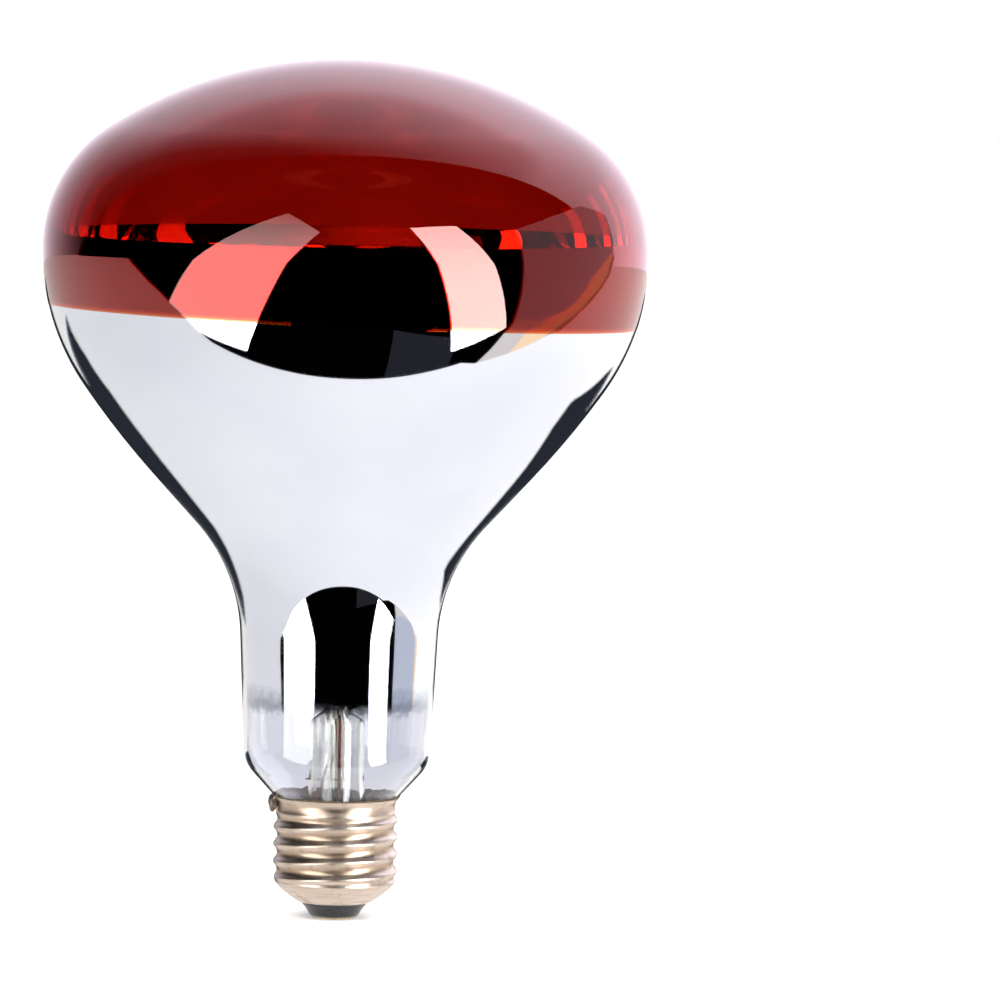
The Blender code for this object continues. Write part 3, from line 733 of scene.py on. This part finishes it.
def bored(piece, places, radius, low, high, sides=24):
    # drills upright holes through a piece
    cutters = []
    for x in places:
        bm = bmesh.new()
        bmesh.ops.create_cone(bm, cap_ends=True, segments=sides, radius1=radius, radius2=radius,
                              depth=high - low)
        bmesh.ops.translate(bm, vec=(x, 0.0, (low + high) / 2), verts=bm.verts)
        cutter = makePiece(bm, "drill", piece.data.materials[0])
        cut = piece.modifiers.new("hole", "BOOLEAN")
        cut.operation, cut.solver, cut.object = "DIFFERENCE", "EXACT", cutter
        cutters.append(cutter)
    applied(piece)
    for cutter in cutters:
        bpy.data.objects.remove(cutter, do_unlink=True)
    return piece


def turnMount(piece):
    piece.data.transform(Matrix.Rotation(math.radians(stem["mountTurn"]), 4, "Z"))
    return piece


def makeStem(s):
    # lead glass, drawn and pinched hot: clear, faintly yellow, with lines along the draw
    leadGlass, tree, shader = newMaterial("leadGlass", IOR=1.56, Transmission_Weight=1.0)
    uneven(tree, shader, 1.6, ("F6F6F2", "EFF0EC"), (0.0, 0.02), 0.05, stretch=(1.0, 1.0, 0.06))
    radius, foot, bell = s["flare"], s["flareFoot"], s["bell"]
    straight = foot[1] + bell
    rows = 24
    outside = [(radius, s["flareTop"] - (s["flareTop"] - straight) * i / rows)
               for i in range(rows)]
    for i in range(13):
        swing = math.radians(90.0 * i / 12)
        outside.append((radius + (foot[0] - radius) * (1 - math.cos(swing)),
                        foot[1] + bell * (1 - math.sin(swing))))
    inside = [(r - s["flareWall"], z) for r, z in outside]
    bm = spinLine(outside + inside[::-1], 72, closed=True)
    wide, deep = (size / 2 / radius for size in s["press"])
    for vert in bm.verts:
        t = min(max((vert.co.z - s["flattenFrom"]) / (s["flareTop"] - s["flattenFrom"]), 0.0), 1.0)
        t = t * t * (3 - 2 * t)
        vert.co.x *= 1 + t * (wide - 1)
        vert.co.y *= 1 + t * (deep - 1)
    standFor(turnMount(makePiece(bm, "stemFlare", leadGlass)), ["stem_flare"])

    low, high = s["pressSpan"]
    bm = bmesh.new()
    bmesh.ops.create_cube(bm, size=1.0)
    bmesh.ops.scale(bm, vec=(*s["press"], high - low), verts=bm.verts)
    upright = [e for e in bm.edges if abs(e.verts[0].co.z - e.verts[1].co.z) > 1.0]
    bmesh.ops.bevel(bm, geom=upright, offset=s["pressBevel"], segments=6, profile=0.5,
                    affect="EDGES", material=-1)
    topEdges = [e for e in bm.edges if min(v.co.z for v in e.verts) > (high - low) / 2 - 0.01]
    bmesh.ops.bevel(bm, geom=topEdges, offset=0.9, segments=5, profile=0.5, affect="EDGES",
                    material=-1)
    sides = [e for e in bm.edges if abs(e.verts[0].co.z - e.verts[1].co.z) > 1.0]
    bmesh.ops.subdivide_edges(bm, edges=sides, cuts=10)
    for vert in bm.verts:
        waist = 1.0 - 0.1 * math.sin(math.pi * (vert.co.z / (high - low) + 0.5))
        vert.co.y *= waist                       # hollowed a little by the pinching jaws
    bmesh.ops.translate(bm, vec=(0.0, 0.0, (low + high) / 2), verts=bm.verts)
    press = makePiece(bm, "stemPress", leadGlass)
    spacing = s["leadSpacing"]
    bored(press, (-spacing, spacing), s["sealBore"], low - 1.0, high + 1.0)
    standFor(turnMount(press), ["stem_press"])

    tube, tip, top = s["exhaust"], s["exhaustTip"], low - 0.02
    bore = tube - s["exhaustWall"]
    walls = [top - (top - tip - 4.0) * i / 16 for i in range(17)]
    outline = ([(bore, z) for z in walls[::-1]] + [(tube, z) for z in walls]
               + [(tube, tip + 2.4), (tube * 0.86, tip + 1.5), (tube * 0.55, tip + 0.7),
                  (tube * 0.25, tip + 0.15), (0.0, tip)])
    outline = [(0.0, tip + 1.5), (bore * 0.6, tip + 1.9), (bore * 0.95, tip + 2.8)] + outline
    standFor(makePiece(spinLine(outline, 40), "exhaustTube", leadGlass, smooth=50.0),
             ["exhaust_tube"])

    rod, (low, high) = s["arbor"], s["arborSpan"]
    outline = [(0.0, low), (rod - 0.3, low), (rod, low + 0.3)]
    outline += [(rod, low + 0.3 + (high - low - 0.6) * i / 24) for i in range(1, 25)]
    outline += [(rod - 0.3, high), (0.0, high)]
    bm = spinLine(outline, 40)
    for vert in bm.verts:
        pushOut(vert, 0.06 * noise.noise(Vector((0.0, 0.0, vert.co.z * 0.17))))
    standFor(makePiece(bm, "arborRod", leadGlass, smooth=50.0), ["arbor_rod"])

    head, base = s["button"], high + 0.05
    outline = [(0.0, base), (rod * 0.9, base)] + [
        (head * math.sin(math.radians(a)) ** 0.8, base + 2.3 - 2.2 * math.cos(math.radians(a)))
        for a in range(30, 180, 10)] + [(0.0, base + 4.5)]
    bm = spinLine(outline, 48)
    for vert in bm.verts:
        pushOut(vert, 0.12 * noise.noise(vert.co * 0.5))
    standFor(makePiece(bm, "arborButton", leadGlass, smooth=60.0), ["arbor_button"])


makeStem(stem)
print("stem made")


mount = {
    "deflector": (14.5, 62.0, 0.4), "deflectorRim": 0.8, "deflectorHole": 1.9, "leadHole": 0.95,
    "collar": (1.95, 2.7, 59.2, 61.7),
    "copper": 0.3, "nickel": 0.45,
    "leadSpacing": stem["leadSpacing"], "copperTop": 44.3,
    "ring": (14.0, 101.0), "coil": 0.66, "coilWire": 0.13, "coilTurns": 205, "coilPoints": 12,
    "opening": 50.0, "margin": 7.0,
    "supports": 5, "supportWire": 0.2, "supportFoot": (2.9, 92.6), "hook": 1.05,
    "crimp": (1.7, 1.2, 2.1),
}


def makeDeflector(s):
    # stamped aluminium plate: pale and satin, with the marks of rolling across it
    plate, tree, shader = newMaterial("stampedAluminium", Metallic=1.0)
    uneven(tree, shader, 6.0, ("D2D3D6", "BFC1C5"), (0.2, 0.36), 0.01, stretch=(20.0, 1.0, 1.0))
    radius, low, thick = s["deflector"]
    hole, rim, high = s["deflectorHole"], s["deflectorRim"], low + thick
    outline = [(hole, high), (hole + 0.1, high), (6.0, high), (7.0, high + 0.12), (8.0, high),
               (radius - rim, high), (radius - 0.15, high - 0.08), (radius, high - 0.2),
               (radius - 0.15, low + 0.06), (radius - rim, low), (8.0, low), (7.0, low + 0.12),
               (6.0, low), (hole + 0.1, low), (hole, low)]
    disc = makePiece(spinLine(outline, 120, closed=True), "heatDeflector", plate)
    bored(disc, (-s["leadSpacing"], s["leadSpacing"]), s["leadHole"], low - 1.0, high + 1.0)
    standFor(turnMount(disc), ["heat_deflector"])

    inner, outer, low, high = s["collar"]
    outline = [(inner, low), (outer - 0.12, low), (outer, low + 0.12), (outer, high - 0.5),
               (outer + 0.25, high - 0.12), (outer + 0.25, high), (inner, high)]
    rows = [(outer, low + 0.3 + (high - low - 0.9) * i / 10) for i in range(11)]
    bm = spinLine(outline[:3] + rows + outline[4:], 48, closed=True)
    middle = (low + high) / 2
    for vert in bm.verts:
        around = math.cos(3 * math.atan2(vert.co.y, vert.co.x))
        if around > 0 and math.hypot(vert.co.x, vert.co.y) > inner + 0.3:
            pushOut(vert, -0.22 * around ** 6 * math.exp(-((vert.co.z - middle) / 0.5) ** 2))
    standFor(makePiece(bm, "deflectorCollar", nickelWire, smooth=50.0), ["deflector_collar"])


def makeLeads(s):
    # bare copper that was flame sealed: red-brown, dulled by a film of oxide
    copper, tree, shader = newMaterial("oxidisedCopper", Metallic=1.0)
    uneven(tree, shader, 1.4, ("8A5040", "55302A"), (0.35, 0.55), 0.01)
    angle, spacing, top = cap["solderAngle"], s["leadSpacing"], s["copperTop"]
    turn = stem["mountTurn"]
    routes = {
        "outer_lead_centre": [ringPoint(turn, spacing, top), ringPoint(turn, spacing, 34.0),
                              (0.7, -3.2, 24.0), (0.9, -2.6, 13.0), (0.5, -1.0, 8.0),
                              (0.0, 0.0, 5.0), (0.0, 0.0, 0.52)],
        "outer_lead_side": [ringPoint(turn, -spacing, top), ringPoint(turn, -spacing, 37.0),
                            (-2.2, 3.2, 31.0), (-4.1, 1.9, 25.0), (-5.2, 0.1, 19.8),
                            ringPoint(angle, 8.5, 16.2), ringPoint(angle, 10.2, 16.6)],
    }
    for node, route in routes.items():
        name = "outerLead" + node.rsplit("_", 1)[1].title()
        standFor(makeWire(name, route, s["copper"], copper), [node])
    tail = makeWire("sideLeadTail", [ringPoint(angle, r, z) for r, z in cap["leadTail"]],
                    s["copper"], copper)
    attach(tail, "root")

    low, high = stem["pressSpan"]
    radius, height = s["ring"]
    for side, hand in (("a", -1), ("b", 1)):
        x = hand * spacing
        route = [(x, 0.0, low + (high - low) * i / 6) for i in range(7)]
        wire = makeWire("sealWire" + side.upper(), route, stem["sealWire"], copper)
        standFor(turnMount(wire), ["seal_wire_" + side])
        end = -90.0 + hand * s["opening"] / 2
        route = [(x, 0.0, high + 0.05), (x, 0.0, 64.0), (hand * 4.0, -1.2, 76.0),
                 (hand * 5.2, -7.5, 90.0), ringPoint(end, radius, height - 2.6)]
        wire = makeWire("innerLead" + side.upper(), route, s["nickel"], nickelWire, round=4)
        standFor(turnMount(wire), ["inner_lead_" + side])
        wide, deep, tall = s["crimp"]
        bm = bmesh.new()
        bmesh.ops.create_cube(bm, size=1.0)
        bmesh.ops.subdivide_edges(bm, edges=bm.edges[:], cuts=7, use_grid_fill=True)
        for vert in bm.verts:
            pinch = 0.3 * math.exp(-((vert.co.z) / 0.2) ** 2)     # two dents where it was nipped
            vert.co.y *= 1.0 - pinch * math.cos(math.pi * vert.co.x)
        bmesh.ops.scale(bm, vec=(wide, deep, tall), verts=bm.verts)
        outside = [e for e in bm.edges if len(e.link_faces) == 2
                   and e.calc_face_angle() > math.radians(60)]
        bmesh.ops.bevel(bm, geom=outside, offset=0.16, segments=3, profile=0.5, affect="EDGES",
                        material=-1)
        bmesh.ops.rotate(bm, matrix=Matrix.Rotation(math.radians(end + 90.0), 3, "Z"),
                         verts=bm.verts)
        bmesh.ops.translate(bm, vec=ringPoint(end, radius, height - 1.3), verts=bm.verts)
        crimp = makePiece(bm, "filamentCrimp" + side.upper(), nickelWire, smooth=40.0)
        standFor(turnMount(crimp), ["filament_crimp_" + side])


def makeFilament(s):
    # drawn tungsten, coiled: dark steel grey, with the blue and straw of its first flash
    tungsten, tree, shader = newMaterial("coiledTungsten", Metallic=1.0)
    uneven(tree, shader, 3.0, ("7C7876", "565660"), (0.35, 0.5), 0.0)
    radius, height = s["ring"]
    start = -90.0 + s["opening"] / 2 + s["margin"]
    sweep = 360.0 - s["opening"] - 2 * s["margin"]
    ends = [-90.0 + s["opening"] / 2, 270.0 - s["opening"] / 2]
    count = s["coilTurns"] * s["coilPoints"]
    route = [ringPoint(ends[0], radius, height - 1.2)]
    for i in range(count + 1):
        turn = math.tau * i / s["coilPoints"]
        sag = 0.25 * math.sin(math.pi * (i / count * s["supports"] % 1.0)) ** 2
        route.append(ringPoint(start + sweep * i / count, radius + s["coil"] * math.cos(turn),
                               height - sag + s["coil"] * math.sin(turn)))
    route.append(ringPoint(ends[1], radius, height - 1.2))
    coil = makeWire("filament", route, s["coilWire"], tungsten, kind="POLY", round=1)
    standFor(turnMount(coil), ["filament"])

    # drawn molybdenum: bright grey wire, bent cold
    molybdenum, tree, shader = newMaterial("drawnMolybdenum", Metallic=1.0)
    uneven(tree, shader, 1.5, ("A5A4A2", "85848A"), (0.25, 0.4), 0.005)
    for i in range(s["supports"]):
        angle = start + sweep * (i + 0.5) / s["supports"]
        footRadius, foot = s["supportFoot"]
        line = [(footRadius, foot), (5.2, foot + 0.5), (8.5, foot + 2.4), (11.6, height - 3.1)]
        line += [(radius + s["hook"] * math.cos(math.radians(a)),
                  height - 0.1 + s["hook"] * math.sin(math.radians(a)))
                 for a in range(-135, 150, 35)]
        route = [ringPoint(angle, r, z) for r, z in line]
        wire = makeWire("filamentSupport%d" % (i + 1), route, s["supportWire"], molybdenum)
        standFor(turnMount(wire), ["filament_support_%d" % (i + 1)])


# drawn nickel: yellowish grey and satin, straw-tinted from the sealing fires
nickelWire, nickelTree, nickelShader = newMaterial("drawnNickel", Metallic=1.0)
uneven(nickelTree, nickelShader, 2.0, ("BDB7AB", "9C9588"), (0.25, 0.42), 0.008)

makeDeflector(mount)
makeLeads(mount)
makeFilament(mount)
print("mount and filament made")
